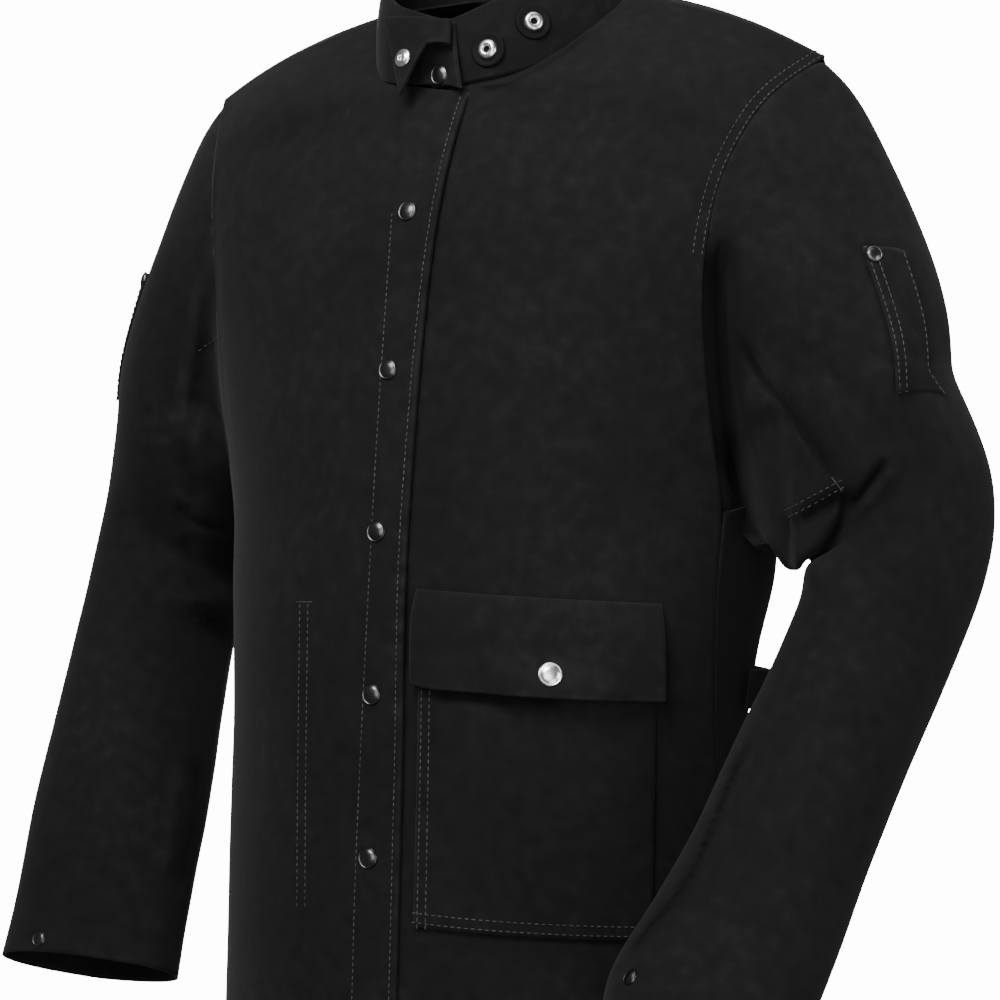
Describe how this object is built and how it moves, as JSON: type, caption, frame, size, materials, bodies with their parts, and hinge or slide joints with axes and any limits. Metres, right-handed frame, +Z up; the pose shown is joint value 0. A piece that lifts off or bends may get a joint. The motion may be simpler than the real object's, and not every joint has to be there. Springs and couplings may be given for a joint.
{
  "type": "welding jacket",
  "caption": "Long-sleeved black split-leather work jacket, as worn, with a snap placket, stand collar, throat tab, flapped patch pocket and small sleeve pockets.",
  "frame": {"origin": "middle of the line between the shoulder points at the base of the neck, where the jacket hangs", "axes": "+Z up, -Y towards the front, +X towards the wearer's left"},
  "size_m": [0.7565, 0.3412, 0.8288],
  "materials": {
    "suede": "matt split-leather nap",
    "gunmetal": "dark gunmetal snap caps",
    "nickel": "bright nickel",
    "washer": "black rubber"
  },
  "bodies": {
    "root": {"right_front": "suede", "left_front": "suede", "back": "suede", "back_yoke": "suede", "left_sleeve": "suede", "left_forearm": "suede", "left_under_sleeve": "suede", "left_gusset": "suede", "right_sleeve": "suede", "right_forearm": "suede", "right_under_sleeve": "suede", "right_gusset": "suede", "chest_pocket": "suede", "chest_pocket_flap": "suede", "left_sleeve_pocket": "suede", "right_sleeve_pocket": "suede", "left_waist_tab": "suede", "right_waist_tab": "suede", "collar": "suede", "collar_tab": "suede", "front_snap_1": "gunmetal", "front_snap_2": "gunmetal", "front_snap_3": "gunmetal", "front_snap_4": "gunmetal", "front_snap_5": "gunmetal", "front_snap_6": "gunmetal", "left_cuff_snap": "gunmetal", "right_cuff_snap": "gunmetal", "left_sleeve_pocket_snap": "gunmetal", "right_sleeve_pocket_snap": "gunmetal", "flap_snap": "nickel", "collar_stud_1": "nickel", "collar_stud_2": "nickel", "collar_socket": "nickel", "collar_washer_1": "washer", "collar_washer_2": "washer"}
  },
  "joints": []
}
